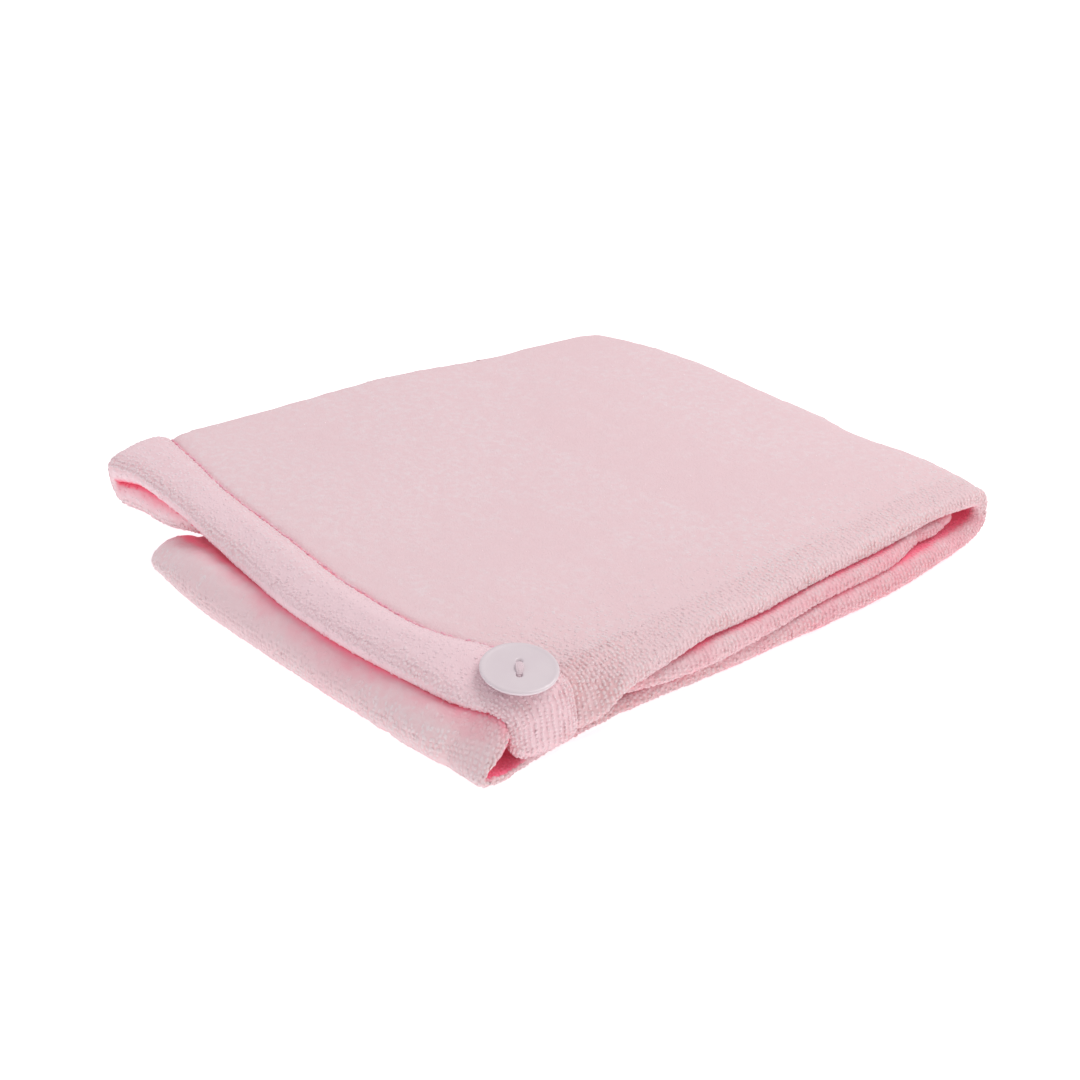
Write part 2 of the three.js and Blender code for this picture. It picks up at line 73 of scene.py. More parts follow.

# %% [markdown]
# ## The fold as a table
# The towel is one long sleeve that is bent round twice. Its shape is easiest to say as a path seen
# from the side, with a row wherever the folded packet changes: how high its middle lies, how thick
# it is, and where its two edges are. A curve runs through the rows, so a few numbers give a smooth
# fold.

# %% Fold table
SLIT = 0.45                      # half the hollow between the two plies
BUTTON_SEAT = (101, -113, 26.93)
COLUMNS = ("y", "z", "out", "inn", "left", "right", "droop", "edge", "lift")
HEM_THIRD = (
    (-130, 21.4, 4.4, 2.4, -123, 117, 84, 2.8, 0),
    (-126, 21.5, 4.4, 2.4, -125, 120.5, 84, 2.8, 0),
    (-115, 21.5, 4.4, 2.4, -126, 122.3, 84, 2.8, 0),
    (-105.5, 21.4, 4.4, 2.4, -126, 122.2, 82, 3, 0),
    (-99, 21.2, 5.2, 1.5, -127, 122, 72, 3.7, 0),
    (-84, 21, 5.2, 0.7, -128, 117.7, 34, 3.9, 0),
    (-62, 20.5, 4.9, SLIT, -128, 116.2, 18, 3.9, 0),
    (-40, 20.2, 4.7, SLIT, -127, 115, 3, 3.9, 0),
    (-12, 20, 4.6, SLIT, -124.5, 114.6, 12, 4.1, -0.2),
    (20, 20, 4.6, SLIT, -119, 114.2, 8, 3.7, 0),
    (58, 20, 4.6, SLIT, -108.5, 114.2, 8, 3.9, -0.2),
    (88, 20, 4.6, SLIT, -103, 115, 5, 3.6, 0.5),
)
BACK_FOLD = (
    (109, 19.4, 4.2, SLIT, -99, 117, 0, 3.5, 0),
    (118.5, 16.8, 3.9, SLIT, -95, 116, 0, 3.4, 0),
    (121, 11.5, 3.7, SLIT, -94, 115, 0, 3.4, 0),
    (118, 6.3, 3.6, SLIT, -94, 115, 0, 3.4, 0),
    (109, 4, 3.6, SLIT, -93, 116.5, 0, 3.8, 0.4),
)
MIDDLE_THIRD = (
    (88, 3.7, 3.7, SLIT, -92, 119.5, 0, 4.5, 0.8),
    (58, 3.7, 3.7, SLIT, -90, 121, 0, 4.6, 0.9),
    (20, 3.7, 3.7, SLIT, -87, 120, 0, 4.4, 0.7),
    (-12, 3.7, 3.7, SLIT, -85, 117, 0, 3.6, -0.1),
    (-40, 3.7, 3.7, SLIT, -82, 113.8, 0, 3, -0.7),
    (-62, 3.6, 3.6, SLIT, -80, 111.5, 0, 2.8, -0.8),
    (-86, 3.5, 3.5, SLIT, -78, 109.5, 0, 2.4, -1.1),
    (-108, 3.5, 3.5, SLIT, -77, 109.5, 0, 1.5, -2),
    (-124, 3.5, 3.5, SLIT, -76, 112.5, 0, 1.8, -1.7),
)
FRONT_FOLD = (
    (-133.5, 5.2, 3.5, SLIT, -75, 112.5, 0, 2.4, -1),
    (-136.3, 10.8, 3.5, SLIT, -74, 113, 0, 2.7, 0),
    (-131.5, 16, 3.5, SLIT, -73, 110, 0, 2.8, 0.4),
    (-125, 15.2, 3.5, SLIT, -72, 100, 0, 2.9, 0.4),
)
TAIL_THIRD = (
    (-119, 11.9, 3.4, SLIT, -71, 98.5, 0, 3, 0),
    (-111, 10.7, 3.4, SLIT, -70, 98.5, 0, 3.1, -0.5),
    (-86, 10.8, 3.5, SLIT, -65, 106, 0, 2.2, -1.8),
    (-62, 11.1, 3.5, SLIT, -58, 114.5, 0, 3, -1.1),
    (-40, 11.4, 3.6, SLIT, -51, 117.5, 0, 4, -0.7),
    (-12, 11.5, 3.6, SLIT, -41, 117.8, 0, 3.3, -0.7),
    (20, 11.5, 3.6, SLIT, -25, 117.3, 0, 3, 0.6),
    (52, 11.5, 3.6, SLIT, -2, 118, 0, 2.7, 0.5),
    (77, 11.5, 3.5, SLIT, 18, 113.7, 0, 2.9, 0.8),
    (88, 11.5, 3.2, SLIT, 38, 114.5, 0, 2.8, 0.7),
    (97, 11.5, 2.8, SLIT, 64, 113, 0, 2.5, 0.7),
    (105, 11.5, 2.2, SLIT, 82, 111, 0, 2, 0.7),
    (111, 11.5, 1.4, SLIT, 90, 104, 0, 1.3, 0.4),
)
ROWS = HEM_THIRD + BACK_FOLD + MIDDLE_THIRD + FRONT_FOLD + TAIL_THIRD
FOLDS = {name: np.array([row[i] for row in ROWS], float) for i, name in enumerate(COLUMNS)}
LAST = len(ROWS) - 1
BACK_FOLD_PLACE = 14             # the row where the packet turns round at the back
print("fold rows", len(ROWS))

# %% [markdown]
# ## Soft lines
# A real fold is never straight. These small tables say how far the hem, the front fold and the
# back fold wander from a straight line. The lines are averaged over a short stretch, because
# cloth turns a corner softly.

# %% Soft lines
HEM_LINE = ((-128, 10), (-112, 12), (-98, 11.5), (-68, 7.5), (-26, 1.2), (10, -5.2), (41, -6.9), (67, -6),
            (91, -4.2), (100, -1.5), (108, 4.5), (114, 6))
SEAM_LINE = ((-125, 8), (-112, 2), (-98, 0.3), (-86, -1.7), (-68, -3.6), (0, -3.8), (40, -4.4), (57, -5),
             (66, -3.9), (74, -1.3), (82, 2.5), (90, 3.5))
SAG_LINE = ((-128, 2.4), (-115, 2.5), (-106, 3.3), (-98, 4.8), (-89, 3.6), (-79, 2.2), (-71, 0.6), (-65, 0))
FRONT_FOLD_LINE = ((-75, 7), (-60, 3), (-37, -0.5), (0, -2.2), (50, -3.6), (98, -4.4), (107, -5.6),
                   (113, -6.2))
BACK_FOLD_LINE = ((-98, 2), (-72, 7), (-40, 9.5), (0, 4), (30, 2), (48, -3), (60, -2),
                  (81, -0.8), (100, -3), (119, -9))
LINE_BLUR = np.linspace(-9, 9, 7)


def line_at(line, x):
    """Shift of a soft line at x, averaged over the blur."""
    xs, shifts = zip(*line)
    return np.mean([np.interp(x + d, xs, shifts) for d in LINE_BLUR], axis=0)


def smooth(value, start, end):
    """0 before start, 1 after end, eased between them."""
    t = np.clip((value - start) / (end - start), 0, 1)
    return t * t * (3 - 2 * t)


def along_rows(column, place):
    """Value of a column at places between the rows, on a curve through the rows."""
    values = FOLDS[column]
    i = np.clip(np.floor(place).astype(int), 0, LAST - 1)
    t = place - i
    a, b, c, d = (values[np.clip(i + k, 0, LAST)] for k in (-1, 0, 1, 2))
    curve = (2 * a - 5 * b + 4 * c - d) * t**2 + (3 * (b - c) + d - a) * t**3
    return b + 0.5 * ((c - a) * t + curve)


print("hem line at the middle", round(float(line_at(HEM_LINE, np.array(0.0))), 2))

# %% [markdown]
# ## A point on the cloth
# This is the heart of the lesson. A point is named by a place along the path, a share across the
# packet, an angle round its rounded edge, and a distance from the middle of the packet. The
# function bends the button corner down over the side, lets the free corner bag, and sets the
# lower lip of the mouth back under the upper one.

# %% Point on the cloth
BEND_AT, BEND_RADIUS = 103.0, 4.7
SIDE_START, SIDE_FADE, SIDE_LEAST = 101.0, 22.0, 5.0
LIP_SET_BACK, SET_BACK_LEFT = 13.0, 0.4
LIP_DROP = 2.2
CORNER_DROP = 4.0                # how far the free left corner of the hem hangs
CORNER_PUFF = 0.5                # share of that drop made up on top, where the corner is plump
END_LEAN = 11.2                  # how far the front fold leans back at the right end
END_DROP = 4.0                   # how far the front fold sinks at the left end


def mix(a, b, t):
    return a + (b - a) * t


def station(place):
    """Row values and outward direction at places along the path, as columns."""
    row = {name: along_rows(name, place)[:, None] for name in COLUMNS}
    step = 0.01
    dy = along_rows("y", place + step) - along_rows("y", place - step)
    dz = along_rows("z", place + step) - along_rows("z", place - step)
    length = np.hypot(dy, dz)
    return {**row, "place": place[:, None], "out_y": (-dz / length)[:, None], "out_z": (dy / length)[:, None]}


def soft_shift(x, y, z, side, depth, at):
    """How far cloth lies from the straight fold, along Y and up Z."""
    at_back = smooth(y, 60, 110) * smooth(z, -8, 14)
    shift_y = at_back * line_at(BACK_FOLD_LINE, x)
    past = at["place"] > BACK_FOLD_PLACE
    near_front = 1 - smooth(y, -130, -100)
    lean = END_LEAN * smooth(x, 88, 110) * smooth(at["z"], 3, 14)
    front = near_front * (line_at(FRONT_FOLD_LINE, x) + lean)
    sink = near_front * END_DROP * z / 19 * (1 - smooth(x, -66, -45))
    upper = (1 + side) / 2
    hem = line_at(HEM_LINE, x)
    set_back = LIP_SET_BACK * mix(1, SET_BACK_LEFT, smooth(x, 92, 106))
    lip = (1 - smooth(y, -118, -45)) * mix(np.maximum(hem, set_back), hem, upper)
    lip = lip + smooth(y, -130, -105.5) * (1 - smooth(y, -105.5, -70)) * line_at(SEAM_LINE, x)
    over_lip = smooth(x, -70, -20) * (1 - smooth(x, 104, 116)) * np.maximum(0, (-115 - y) / 12)
    sag = line_at(SAG_LINE, x) * (1 - smooth(y, -112, -45))
    corner = CORNER_DROP * (1 - smooth(x, -124, -100)) * (1 - smooth(y, -122, -96))
    corner = corner * (1 - CORNER_PUFF * np.maximum(0, -depth))
    drop = LIP_DROP * upper * over_lip + sag * np.maximum(0, depth) + corner
    return shift_y + np.where(past, front, lip), np.where(past, -sink, -drop)


def cloth(at, across, turn, half):
    """Points (places, spots, 3) in millimetres, half being the distance from the packet's middle."""
    start = np.minimum(SIDE_START, at["right"] - at["edge"] - SIDE_LEAST)
    middle = np.where(across < 1, mix(at["left"] + at["out"], start, across),
                      mix(start, at["right"] - at["edge"], across - 1))
    at_side = smooth(middle, SIDE_START - SIDE_FADE, SIDE_START)
    pinch = mix(1, at["edge"] / at["out"], at_side)
    side = np.sin(np.radians(turn))
    offset = half * pinch * side
    along = middle + half * pinch * np.cos(np.radians(turn))
    limit = np.radians(np.maximum(at["droop"], 0))

    def bend_of(w):
        return np.minimum(np.maximum(w - BEND_AT, 0) / BEND_RADIUS, limit)

    def past_bend(w):
        return np.maximum(w - BEND_AT - BEND_RADIUS * limit, 0)

    def x_of(w, up):
        round_bend = (BEND_RADIUS + up) * np.sin(bend_of(w))
        return np.minimum(w, BEND_AT) + round_bend + past_bend(w) * np.cos(bend_of(w))

    fall = BEND_RADIUS * (1 - np.cos(bend_of(along))) + past_bend(along) * np.sin(bend_of(along))
    rise = offset * np.cos(bend_of(along)) - fall
    x = x_of(along, offset)
    y = at["y"] + at["out_y"] * rise
    z = at["z"] + at["out_z"] * rise + at["lift"] * at_side
    shift_y, shift_z = soft_shift(x_of(middle, 0), y, z, side, -offset / at["out"], at)
    return np.stack([x, y + shift_y, z + shift_z], axis=-1)


probe = cloth(station(np.array([9.0])), np.array([0.5]), np.array([90.0]), 4.6)
print("middle of the top", probe.round(1).tolist())

# %% [markdown]
# ## Spots round the packet
# The mesh needs small faces where it shows, and can do with large ones where it is hidden. So the
# upper ply gets many steps, the lower ply few, and each rounded edge a dozen.

# %% Spots round the packet
UPPER_STEPS, LOWER_STEPS, BAND_LOWER_STEPS = 146, 30, 60
SIDE_STEPS, NOSE_STEPS = 14, 12


def spots(upper, lower, nose, side=SIDE_STEPS):
    """Shares across and angles round one loop of the packet, from the left edge over the top."""
    def ply(count):
        return np.concatenate([np.linspace(0, 1, count, endpoint=False), np.linspace(1, 2, side + 1)])
    over, under = ply(upper), ply(lower)[::-1]
    steps = np.arange(1, nose) / nose
    across = np.concatenate([over, np.full(nose - 1, 2.0), under, np.zeros(nose - 1)])
    turn = np.concatenate([np.full(len(over), 90.0), 90 - 180 * steps, np.full(len(under), -90.0),
                           -90 - 180 * steps])
    return np.append(across, 0.0), np.append(turn, -270.0)


def places(*stretches):
    """Places along the path: each stretch is (from, to, steps)."""
    parts = [np.linspace(a, b, n, endpoint=False) for a, b, n in stretches]
    return np.append(np.concatenate(parts), stretches[-1][1])


print("spots in a loop", len(spots(UPPER_STEPS, LOWER_STEPS, NOSE_STEPS)[0]))

# %% [markdown]
# ## From a flat grid to a folded sleeve
# A towel starts flat, and so does its mesh: one operator makes a grid, and every point of it is
# moved to its place on the folded cloth. The seam where the grid meets itself is merged, and the
# two ends are filled. The grid keeps its flat places as a UV map, so that the knit follows the
# cloth round each fold.

# %% Grid to cloth
def mesh_of(bm, name):
    """The mesh of a finished bmesh, with every face shaded smooth."""
    for face in bm.faces:
        face.smooth = True
    mesh = bpy.data.meshes.new(name)
    bm.to_mesh(mesh)
    bm.free()
    return mesh


def add_value(mesh, name, values):
    """A number for each vertex, which the materials read by name."""
    layer = mesh.attributes.new(name, "FLOAT", "POINT")
    layer.data.foreach_set("value", np.ascontiguousarray(values, np.float32).ravel())


def grid_mesh(name, points, flat, bend, deep):
    """A mesh of (rows, columns) points in millimetres, with a UV map in metres and two values."""
    rows, columns = points.shape[:2]
    bm = bmesh.new()
    bmesh.ops.create_grid(bm, x_segments=columns - 1, y_segments=rows - 1, size=1)
    mesh = mesh_of(bm, name)
    shifted = (points.reshape(-1, 3) + (FRAME_X, FRAME_Y, 0)) * MM
    mesh.vertices.foreach_set("co", shifted.astype(np.float32).ravel())
    corner = np.zeros(len(mesh.loops), np.int32)
    mesh.loops.foreach_get("vertex_index", corner)
    layer = mesh.uv_layers.new(name="cloth")
    layer.data.foreach_set("uv", (flat.reshape(-1, 2) * MM).astype(np.float32)[corner].ravel())
    add_value(mesh, "bend", bend)
    add_value(mesh, "deep", deep)
    return mesh


def close_mesh(mesh, fill):
    """Merges the seam, fills the open ends and turns every face outwards."""
    bm = bmesh.new()
    bm.from_mesh(mesh)
    bmesh.ops.remove_doubles(bm, verts=bm.verts, dist=2e-6)
    if fill:
        bmesh.ops.holes_fill(bm, edges=[e for e in bm.edges if e.is_boundary], sides=0)
    bmesh.ops.recalc_face_normals(bm, faces=bm.faces)
    for face in bm.faces:
        face.smooth = True
    bm.to_mesh(mesh)
    bm.free()


def add_piece(name, mesh):
    """An object for a finished mesh, riding on the one body."""
    piece = bpy.data.objects.new(name, mesh)
    bpy.context.scene.collection.objects.link(piece)
    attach(piece, "root")
    return piece


def outward(points):
    """Unit normals of a grid of points, pointing away from the packet's middle."""
    along = np.gradient(points, axis=0)
    across = np.gradient(points, axis=1)
    across[:, 0] = across[:, -1] = points[:, 1] - points[:, -2]
    normal = np.cross(across, along)
    return normal / np.maximum(np.linalg.norm(normal, axis=-1, keepdims=True), 1e-9)


print("helpers ready")

# %% [markdown]
# ## The towel's sleeve
# The real sleeve is cut as one piece of fleece, sewn shut along its side and tail. Here the grid
# runs down the hollow from its end to the raw edge, turns over it, and comes back along the skin
# to the tip of the tail. Thick pile never lies quite even, so the skin gets soft swells a few
# centimetres long, and small clumps a few millimetres long.

# %% Sleeve
HOLLOW_END = 3                   # rows between the end of the hollow and the tip of the tail
SWELL, SWELL_SIZE = 0.75, 0.022  # height in millimetres, and how many to the millimetre
CLUMP, CLUMP_SIZE = 0.28, 0.19
SEAM_DIP, SEAM_PLACE, SEAM_WIDTH = 0.7, 3.15, 0.2    # the pile is pressed down beside the hem
CREASES = (                      # from and to as x and place, width and depth in millimetres
    (70, 25.6, 74, 28.4, 2.2, 0.7),
    (84, 26.2, 90, 28.0, 2.6, 0.8),
    (97, 25.8, 101, 28.2, 2.0, 0.9),
    (-20, 25.9, -14, 27.6, 3.0, 0.5),
    (-58, 26.0, -50, 28.6, 3.0, 0.6),
)


def noise_field(points, scale):
    """Smooth noise from -1 to 1 at each point."""
    flat = points.reshape(-1, 3) * scale
    return np.array([noise.noise(Vector(p)) for p in flat]).reshape(points.shape[:-1])


def crease_depth(x, place):
    """Depth of the creases at x and place."""
    depth = np.zeros(np.broadcast(x, place).shape)
    row_length = 9.0             # a row of a fold is about this many millimetres long
    for x0, p0, x1, p1, width, deep in CREASES:
        ax, ap = x - x0, (place - p0) * row_length
        bx, bp = x1 - x0, (p1 - p0) * row_length
        t = np.clip((ax * bx + ap * bp) / (bx * bx + bp * bp), 0, 1)
        away = np.hypot(ax - t * bx, ap - t * bp)
        depth += deep * np.exp(-(away / width) ** 2) * np.sin(np.pi * np.clip(t, 0.08, 0.92))
    return depth


across, turn = spots(UPPER_STEPS, LOWER_STEPS, NOSE_STEPS)
skin_places = places((1, 3, 8), (3, 11, 136), (11, 17, 42), (17, 25, 92), (25, 30, 44), (30, LAST, 46))
hollow_places = places((1, LAST - HOLLOW_END, 60))[::-1]
skin_at, hollow_at = station(skin_places), station(hollow_places)
skin = cloth(skin_at, across, turn, skin_at["out"])
hollow = cloth(hollow_at, across, turn, hollow_at["inn"])

lumps = SWELL * noise_field(skin, SWELL_SIZE) + CLUMP * noise_field(skin, CLUMP_SIZE)
lumps -= crease_depth(skin[..., 0], skin_at["place"])
lumps -= SEAM_DIP * np.exp(-((skin_at["place"] - SEAM_PLACE) / SEAM_WIDTH) ** 2)
free = smooth(skin_at["place"], 3.0, 3.6)
skin = skin + outward(skin) * (lumps * free)[..., None]
points = np.concatenate([hollow, skin])
points[..., 2] = np.maximum(points[..., 2], 0.0)
print("grid", points.shape, "skin low and high", skin[..., 2].min().round(2), skin[..., 2].max().round(2))

# %% [markdown]
# Three things go with every point of the mesh. Its flat place becomes a UV map. The bend tells the
# materials how far the knit is stretched open, and they darken bent cloth with it as painted shade.
# The depth says how far the point lies in a slit between two layers. Cloth in a slit is lit by the
# cloth round it, so it is painted a deeper pink, as painted shade and bounce light: along the button
# side, under the front lip, inside the roll, in the groove beside the hem and in the hollow.

# %% Sleeve mesh
def flat_places(points):
    """Flat place of each point of a folded grid: across the cloth, and along it."""
    middle_line = points[:, points.shape[1] // 4]
    steps = np.linalg.norm(np.diff(middle_line, axis=0), axis=1)
    along = np.concatenate([[0], np.cumsum(steps)])
    steps = np.linalg.norm(np.diff(points[len(points) // 2], axis=0), axis=1)
    reach = np.concatenate([[0], np.cumsum(steps)])
    return np.stack(np.broadcast_arrays(reach[None, :], along[:, None]), axis=-1)


def bend_values(at, across, turn):
    """1 where the knit is stretched round an edge or a fold, 0 where it lies flat."""
    edge = np.cos(np.radians(turn)) ** 2 * np.where(across > 1, 1.0, 0.25) * np.ones_like(at["y"])
    side = smooth(across, 0.75, 1.25) * (0.4 + 0.6 * smooth(at["droop"], 5, 60))
    fold = 0.5 * (1 - np.abs(at["out_z"]))
    return np.clip(np.maximum(np.maximum(edge, side), fold), 0, 1)


lip_across = np.linspace(0, 1.8, 90)
lip_line = cloth(station(np.array([0.5])), lip_across, np.full(90, 90.0), 4.0)[0]


def painted_shade_values(at, across, turn, points):
    """Painted shade and bounce light: 1 where the cloth lies in a narrow slit between two layers, 0 where it
    lies open.
    """
    place, side = at["place"], np.sin(np.radians(turn))
    inside = points[..., 0].max(axis=1, keepdims=True) - points[..., 0]
    behind_lip = points[..., 1] - np.interp(points[..., 0], lip_line[:, 0], lip_line[:, 1])
    facing_in = np.where(place < 30, -side, np.abs(side))
    button_side = smooth(across, 0.9, 1.05)
    slit = smooth(facing_in, 0.1, 0.7) * button_side * (0.15 + 0.75 * smooth(inside, 1.0, 6.0))
    # Painted shade on the lower layers of the button side, stronger towards the back.
    away = mix(0.16, 0.36, smooth(points[..., 1], -90, 70))
    shade = away * smooth(place, 12, 17) * button_side * np.where((place > 25) & (place < 30), 0, 1)
    # Painted shade and bounce light under the front lip and inside the roll.
    near_lip = 0.4 * smooth(behind_lip, -11, -1) + 0.35 * smooth(behind_lip, -2.5, 1.0)
    front_fold = smooth(place, 25.5, 26.5) * (1 - smooth(place, 32, 33))
    under_lip = near_lip * front_fold * smooth(side, -0.5, 0.5)
    roll_inside = smooth(place, 23.5, 25) * (1 - smooth(place, 31, 32)) * smooth(-side, 0.3, 0.9)
    # Painted shade in the groove beside the hem.
    groove = 0.6 * np.exp(-((place - SEAM_PLACE + 0.03) / SEAM_WIDTH) ** 2) * (1 - smooth(across, 0.9, 0.97))
    roll_inside = roll_inside * np.ones_like(slit)
    return np.clip(np.maximum.reduce([slit, shade, under_lip, roll_inside, groove]), 0, 1)


flat = flat_places(points)
skin_bend = bend_values(skin_at, across, turn)
skin_painted_shade = painted_shade_values(skin_at, across, turn, skin)
bend = np.concatenate([bend_values(hollow_at, across, turn), skin_bend])
# The hollow inside the sleeve is painted as a slit throughout, as painted shade.
deep = np.concatenate([np.ones(hollow.shape[:2]), skin_painted_shade])
sleeve_mesh = grid_mesh("towel_sleeve", points, flat, bend, deep)
close_mesh(sleeve_mesh, fill=True)
sleeve = add_piece("towel_sleeve", sleeve_mesh)
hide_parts("towel_body")
print("sleeve triangles", sum(len(p.vertices) - 2 for p in sleeve_mesh.polygons))

# %% [markdown]
# ## The hem band
# A strip of the same fleece is wrapped round the raw edge and sewn down. It is drawn as a closed
# section, carried round the packet: up from the stitches, over the puffed strip, round the lip,
# and back inside the mouth. The stitches pull it down, so it lies low along their row.

# %% Hem band
CLEARANCE, BAND_WALL = 0.3, 1.7
PUFF = 1.5                       # how far the pile swells out the middle of the strip
HEM_BEND = 0.22                  # the strip is stretched a little everywhere
STITCH_PITCH = 3.0
hem_out, hem_in = 4.4 + CLEARANCE, 2.4 - CLEARANCE
band_high, band_low = hem_out + BAND_WALL, hem_in - BAND_WALL
band_middle, band_half = (band_high + band_low) / 2, (band_high - band_low) / 2


def band_section():
    """Places and half thicknesses round the band's section."""
    back = np.linspace(0, 1, 16)
    rise = 1 - np.exp(-back * 6.5)
    puff = PUFF * np.sin(np.pi * back ** 0.9)
    outer = [(mix(3.05, 1.0, b), hem_out + 0.3 + (BAND_WALL + 0.25) * r + up)
             for b, r, up in zip(back, rise, puff)]
    angles = np.radians(np.linspace(80, -80, 9))
    lip = [(1 - 0.52 * math.cos(a), band_middle + (band_half + 0.2) * math.sin(a)) for a in angles]
    inner = [(p, band_low) for p in np.linspace(1.1, 2.5, 5)]
    slot = [(2.5, hem_in), (1.8, hem_in), (0.92, hem_in), (0.92, hem_out), (1.8, hem_out), (3.05, hem_out)]
    section = np.array(outer + lip + inner + slot + outer[:1])
    return section[:, 0], section[:, 1]


band_places, band_half_at = band_section()
band_across, band_turn = spots(UPPER_STEPS, BAND_LOWER_STEPS, NOSE_STEPS)
band_at = station(band_places)
band = cloth(band_at, band_across, band_turn, band_half_at[:, None])
shown = (smooth(band_half_at, hem_in + 0.5, hem_out + 1.2) * smooth(-band_places, -3.0, -2.8))[:, None]
lumps = 0.35 * noise_field(band, 0.035) + CLUMP * noise_field(band, CLUMP_SIZE)
band = band + outward(band) * (lumps * shown)[..., None]
band[..., 2] = np.maximum(band[..., 2], 0.0)
crumbs = 0.5 * np.exp(-((band_places - 2.75) / 0.15) ** 2) * (band_half_at > hem_out)
lip = 0.45 * (1 - smooth(band_places, 0.9, 1.9)) * (band_half_at > band_middle)
band_bend = np.maximum(bend_values(band_at, band_across, band_turn),
                       np.maximum.reduce([crumbs, lip, np.full(len(lip), HEM_BEND)])[:, None])
# Painted shade on the band: inside the mouth, on the lower lip under the upper one, under the lip and in the
# groove by the stitches.
deeper_in = 0.5 * smooth(band_places, 0.45, 0.6) + 0.5 * smooth(band_places, 0.62, 0.8)
mouth_side = smooth(-band_half_at, -hem_in - 0.9, -hem_in + 0.6) * deeper_in
groove = 0.5 * np.exp(-((band_places - 3.05) / 0.12) ** 2) * (band_half_at > hem_out)
underside = smooth(band_half_at, band_middle, hem_out) * smooth(band_places, 0.7, 1.0)
facing_down = smooth(-np.sin(np.radians(band_turn)), 0.2, 0.9)
lower_lip = 0.42 * (1 - smooth(band_half_at, 1.5, 5.0)) * (1 - smooth(band_places, 0.6, 1.0))
band_painted_shade = np.maximum.reduce([mouth_side[:, None] * np.ones_like(band_bend),
                               lower_lip[:, None] * facing_down,
                               groove[:, None] * (1 - smooth(band_across, 0.9, 0.97)),
                               underside[:, None] * facing_down * smooth(band[..., 0], -75, -45)])
band_mesh = grid_mesh("hem_strip", band, flat_places(band), band_bend, band_painted_shade)
close_mesh(band_mesh, fill=False)
hem = add_piece("hem_strip", band_mesh)
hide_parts("hem_band")
print("hem triangles", sum(len(p.vertices) - 2 for p in band_mesh.polygons))

# %% [markdown]
# ## Tufts of the pile
# Coral fleece is knitted in rows, and every loop of a row is brushed up into a small tuft. Where
# the cloth lies flat the tufts merge, and where it bends they stand apart in ribs. One tuft is a
# cone with a blunt tip and a few faces. It is doubled until there are enough, and the copies are
# then set on the skin, row by row.

# %% One tuft
TUFT_SIDES, TUFT_TIP = 6, 0.56   # faces round a tuft, and the width of its tip against its foot
PIECE_TUFTS = 11500              # most tufts in one piece


def tuft_shape():
    """One tuft, a unit high on the plane z = 0."""
    bm = bmesh.new()
    bmesh.ops.create_cone(bm, cap_ends=True, segments=TUFT_SIDES, radius1=1.0, radius2=TUFT_TIP, depth=1.0,
                          matrix=Matrix.Translation((0, 0, 0.5)))
    foot = [face for face in bm.faces if face.calc_center_median().z < 0.1]
    bmesh.ops.delete(bm, geom=foot, context="FACES_ONLY")
    return mesh_of(bm, "tuft")


def copies(shape, count):
    """A mesh of count copies of a small mesh, made by doubling."""
    blocks = [shape]
    while 2 ** len(blocks) <= count:
        bm = bmesh.new()
        bm.from_mesh(blocks[-1])
        bm.from_mesh(blocks[-1])
        blocks.append(mesh_of(bm, "block"))
    bm = bmesh.new()
    for power, block in enumerate(blocks):
        if count >> power & 1:
            bm.from_mesh(block)
    return mesh_of(bm, "copies")


TUFT = tuft_shape()
print("triangles in a tuft", sum(len(p.vertices) - 2 for p in TUFT.polygons))

# %% Sow tufts
chance = np.random.default_rng(7)


def sow(points, bend, deep, rows, columns, pitch, ribs_round=False, facing=1):
    """Seats of tufts on a stretch of a grid: point, normal, bend, deep, long direction, half sizes.

    The pitch is from row to row and from loop to loop. The ribs run along the rows, or round the
    roll across them.
    """
    row_pitch, loop_pitch = pitch
    skin_normal = facing * outward(points)
    fields = np.concatenate([points, skin_normal, bend[..., None], deep[..., None]], axis=-1)[:, columns]
    middle = fields[:, fields.shape[1] // 2, :3]
    run = np.concatenate([[0], np.cumsum(np.linalg.norm(np.diff(middle, axis=0), axis=1))])
    first, last = np.interp(rows, np.arange(len(run)), run)
    seats = []
    for number, mark in enumerate(np.arange(first, last, row_pitch)):
        at_row = np.interp(mark, run, np.arange(len(run)))
        i = min(int(at_row), len(run) - 2)
        row = mix(fields[i], fields[i + 1], at_row - i)
        across_run = np.concatenate([[0], np.cumsum(np.linalg.norm(np.diff(row[:, :3], axis=0), axis=1))])
        start = 0.5 if ribs_round else 0.25 + 0.5 * (number % 2)
        marks = np.arange(loop_pitch * start, across_run[-1], loop_pitch)
        marks = marks + chance.uniform(-1, 1, len(marks)) * loop_pitch * (0.1 if ribs_round else 0.3)
        seat = np.stack([np.interp(marks, across_run, row[:, k]) for k in range(8)], axis=-1)
        if ribs_round:
            step = fields[i + 1, :, :3] - fields[i, :, :3]
            long_way = np.stack([np.interp(marks, across_run, step[:, k]) for k in range(3)], axis=-1)
            halves = (0.66 * row_pitch, 0.5 * loop_pitch)
        else:
            ahead = np.stack([np.interp(marks + 0.3, across_run, row[:, k]) for k in range(3)], axis=-1)
            long_way = ahead - seat[:, :3]
            halves = (0.64 * loop_pitch, 0.45 * row_pitch)
        seats.append(np.concatenate([seat, long_way, np.tile(halves, (len(marks), 1))], axis=-1))
    return np.concatenate(seats)


def over_top(count, left_under, right_under):
    """Columns of a loop from its left underside, over the top, to its right underside."""
    return list(range(count - NOSE_STEPS - left_under, count - 1)) + list(range(NOSE_END + right_under))


def skin_rows(start, stop):
    return np.interp((start, stop), skin_places, np.arange(len(skin_places)))


